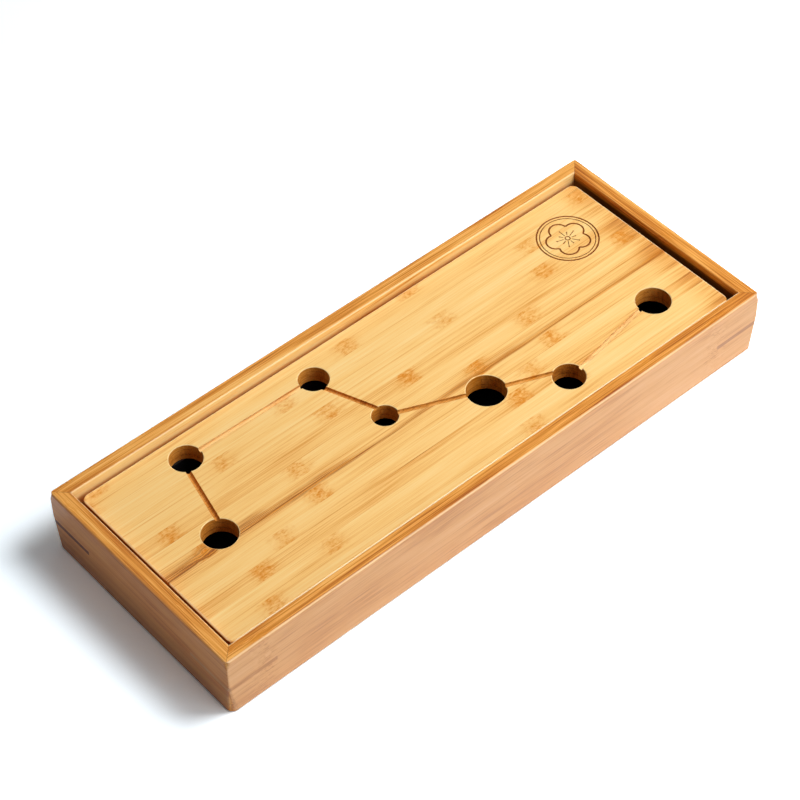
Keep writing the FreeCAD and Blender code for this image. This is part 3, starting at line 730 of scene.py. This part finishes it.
# Keys: four thin slips of darker wood, one across the mitre of each corner. Each is
# glued into a saw cut at mid height, and planed flush with both sides.
def two_tone_material(name, tones, stretch, roughness=0.5):
    """A plain close-grained finish between two tones, with specks that the stretch draws out."""
    material, tree, output = new_material(name)
    surface = add_node(tree, "TexCoord").outputs["Object"]
    drawn = add_node(tree, "Mapping", {"Vector": surface, "Scale": stretch})
    specks = add_node(tree, "TexNoise", {"Vector": drawn.outputs[0], "Scale": 1.0, "Detail": 4.0})
    specks = specks.outputs["Fac"]
    spread = add_node(tree, "MapRange", {"Value": specks, "From Min": 0.3, "From Max": 0.7})
    colour = ramp(Value(tree, spread.outputs[0]), [(0.0, tones[0]), (1.0, tones[1])])
    bump = add_node(tree, "Bump", {"Height": specks, "Strength": 0.25, "Distance": 0.1 * MM})
    finish = add_node(tree, "BsdfPrincipled", {"Base Color": colour, "Roughness": roughness,
                                               "Specular IOR Level": 0.2, "Normal": bump.outputs[0]})
    tree.links.new(finish.outputs[0], output.inputs["Surface"])
    return material


KEY_STRETCH = (90, 90, 1600)
KEY_TONES = {
    "back_left_key": (paint(84, 44, 34), paint(122, 74, 58)),
    "front_left_key": (paint(186, 128, 82), paint(212, 154, 104)),
    "front_right_key": (paint(176, 122, 86), paint(202, 148, 106)),
    "back_right_key": (paint(120, 70, 48), paint(158, 100, 68)),
}
for key, tones in KEY_TONES.items():
    dress(key, two_tone_material(key + "_wood", tones, KEY_STRETCH))


# Floor panel: a thin sheet of glued bamboo strips, left without lacquer. It sits in
# grooves round the inside of the rails, and closes the frame below the tray.
PANEL_TONES = [(0.0, paint(170, 112, 56)), (0.5, paint(224, 170, 102)), (1.0, paint(242, 198, 136))]
PANEL_PITCH, FIRST_PANEL_STRIP = 20, -130
PANEL_STRIPS = [(-150 + 37 * (strip % 5), 170 + 11 * (strip % 4), 0.5 + 0.09 * (strip % 4))
                for strip in range(13)]
dress("floor_panel", bamboo_material("panel_bamboo", PANEL_TONES, PANEL_STRIPS, PANEL_PITCH,
                                     FIRST_PANEL_STRIP, seed=9, roughness=0.6))


# Foot pads: soft rubber discs glued into recesses under the long rails, so that the
# table stands still and doesn't scratch. Their lower edges are moulded round.
PAD_ROUNDING = 0.45 * MM
PAD_STRETCH = (2600,) * 3
PAD_TONES = (paint(40, 39, 38), paint(58, 56, 54))
pad_rubber = two_tone_material("pad_rubber", PAD_TONES, PAD_STRETCH, roughness=0.75)
for pad in ("front_left_pad", "back_left_pad", "front_right_pad", "back_right_pad"):
    low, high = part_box(pad)
    middle, radius = (low + high) / 2, (high.x - low.x) / 2
    rounding = [(radius - PAD_ROUNDING * (1 - math.sin(turn)),
                 low.z + PAD_ROUNDING * (1 - math.cos(turn)))
                for turn in (math.pi / 8 * step for step in range(5))]
    disc = bmesh.new()
    turn_round(disc, [(0, low.z), (radius * 0.6, low.z), *rounding, (radius, high.z), (0, high.z)],
               (middle.x, middle.y), 64)
    close_up(disc)
    foot = new_piece(pad.replace("pad", "foot"), disc, pad_rubber)
    shade(foot)
    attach(foot, "frame")
    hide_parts(pad)


# Water tray: a thin black tray with a fine matt texture, moulded in one piece. Its
# flange hangs on the rails' ledge under the board, and it lifts out to be emptied.
TRAY_STRETCH = (1400,) * 3
TRAY_TONES = (paint(14, 14, 15), paint(24, 24, 25))
dress("water_tray", two_tone_material("tray_plastic", TRAY_TONES, TRAY_STRETCH, roughness=0.42))


# Battens: two planed bamboo strips screwed across the underside of the board. They
# keep it flat and centre it between the long rails.
BATTEN_PITCH, FIRST_BATTEN_STRIP = 80, -120
BATTEN_STRIPS = [(-30, 150, 0.6), (25, 140, 0.7), (10, 160, 0.5)]
batten_bamboo = bamboo_material("batten_bamboo", PANEL_TONES, BATTEN_STRIPS, BATTEN_PITCH,
                                FIRST_BATTEN_STRIP, turn=90, seed=12, roughness=0.6)
for batten in ("left_batten", "right_batten"):
    dress(batten, batten_bamboo)


# Screws: zinc-plated countersunk wood screws with a cross recess, two in each batten,
# driven up into the board.
SCREW_PLACES = [(end * 99.9 * MM, side * 35 * MM) for end in (-1, 1) for side in (-1, 1)]
HEAD_RADIUS, HEAD_EDGE, SHANK_RADIUS, CORE_RADIUS = 3.6 * MM, 0.2 * MM, 1.75 * MM, 1.2 * MM
THREAD_PITCH, THREAD_TURNS, PLAIN_SHANK = 1.2 * MM, 7, 1.2 * MM
RECESS_LENGTH, RECESS_WIDTH, RECESS_DEPTH = 3.6 * MM, 0.8 * MM, 1.2 * MM
DRIVER_BELOW = 1 * MM
screw_low, screw_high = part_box("batten_screws")
zinc, tree, output = new_material("screw_zinc")
surface = add_node(tree, "TexCoord").outputs["Object"]
specks = add_node(tree, "TexNoise", {"Vector": surface, "Scale": 1400.0, "Detail": 3.0}).outputs["Fac"]
plating = ramp(Value(tree, specks), [(0.0, paint(168, 170, 174)), (1.0, paint(214, 214, 210))])
wear = add_node(tree, "MapRange", {"Value": specks, "To Min": 0.24, "To Max": 0.42})
plated = add_node(tree, "BsdfPrincipled", {"Base Color": plating, "Metallic": 1.0,
                                           "Roughness": wear.outputs[0]})
tree.links.new(plated.outputs[0], output.inputs["Surface"])

neck = screw_low.z + HEAD_RADIUS - SHANK_RADIUS
thread_start = neck + PLAIN_SHANK
one_turn = ((CORE_RADIUS, 0.0), (SHANK_RADIUS, 0.45), (SHANK_RADIUS, 0.55), (CORE_RADIUS, 0.95))
thread = [(radius, thread_start + THREAD_PITCH * (turn + part))
          for turn in range(THREAD_TURNS) for radius, part in one_turn]
screw_profile = [(0, screw_low.z), (HEAD_RADIUS - HEAD_EDGE, screw_low.z),
                 (HEAD_RADIUS, screw_low.z + HEAD_EDGE), (SHANK_RADIUS, neck),
                 (SHANK_RADIUS, thread_start - 0.3 * MM), *thread, (0, screw_high.z)]
screw_metal, driver = bmesh.new(), bmesh.new()
for right, back in SCREW_PLACES:
    turn_round(screw_metal, screw_profile, (right, back), 32)
    for wide, deep in ((RECESS_LENGTH, RECESS_WIDTH), (RECESS_WIDTH, RECESS_LENGTH)):
        outline = [Vector((right + x * wide / 2, back + y * deep / 2, screw_low.z - DRIVER_BELOW))
                   for x, y in ((-1, -1), (1, -1), (1, 1), (-1, 1))]
        prism(driver, outline, Vector((0, 0, DRIVER_BELOW + RECESS_DEPTH)))
close_up(screw_metal)
bmesh.ops.recalc_face_normals(driver, faces=driver.faces)
screws = new_piece("cross_head_screws", screw_metal, zinc)
cut_away(screws, new_piece("driver", driver, zinc))
shade(screws)
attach(screws, "board")
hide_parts("batten_screws")
